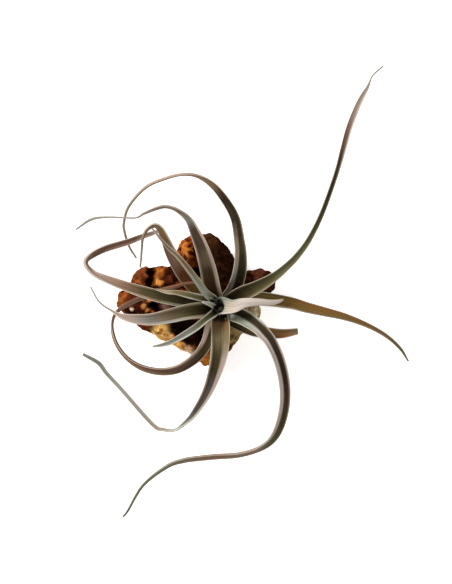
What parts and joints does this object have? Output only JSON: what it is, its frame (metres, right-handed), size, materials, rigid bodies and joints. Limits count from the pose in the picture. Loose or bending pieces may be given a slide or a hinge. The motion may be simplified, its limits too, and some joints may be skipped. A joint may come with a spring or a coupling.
{
  "type": "air plant on root wood",
  "caption": "Air plant: an open rosette of long, channelled, curling leaves on a short stem, seated on a free-standing knob of root wood.",
  "frame": {"origin": "on the wood's flat underside, straight below the crown of the plant", "axes": "+Z up, +Y towards the end that the highest long leaf reaches, +X to the right seen from above with +Y up"},
  "size_m": [0.1675, 0.2276, 0.0779],
  "materials": {
    "wood": "oiled, glossy",
    "stem": "matt, scurfy",
    "leaf_green": "matt, scurfy",
    "leaf_mauve": "matt, scurfy",
    "leaf_pale": "matt, scurfy"
  },
  "bodies": {
    "root": {"wood": "wood", "stem": "stem", "leaf_heart_sliver": "leaf_pale", "leaf_heart_white": "leaf_pale", "leaf_inner_upper_left": "leaf_pale", "leaf_inner_left": "leaf_green", "leaf_inner_lower_left": "leaf_green", "leaf_left": "leaf_green", "leaf_bottom": "leaf_green", "leaf_lower_right": "leaf_green", "leaf_upper_right": "leaf_green", "leaf_upper": "leaf_green", "leaf_left_loop": "leaf_mauve", "leaf_upper_left": "leaf_mauve", "leaf_top_loop": "leaf_green", "leaf_lower_left_loop": "leaf_mauve", "leaf_cut": "leaf_green", "leaf_right": "leaf_green"}
  },
  "joints": []
}
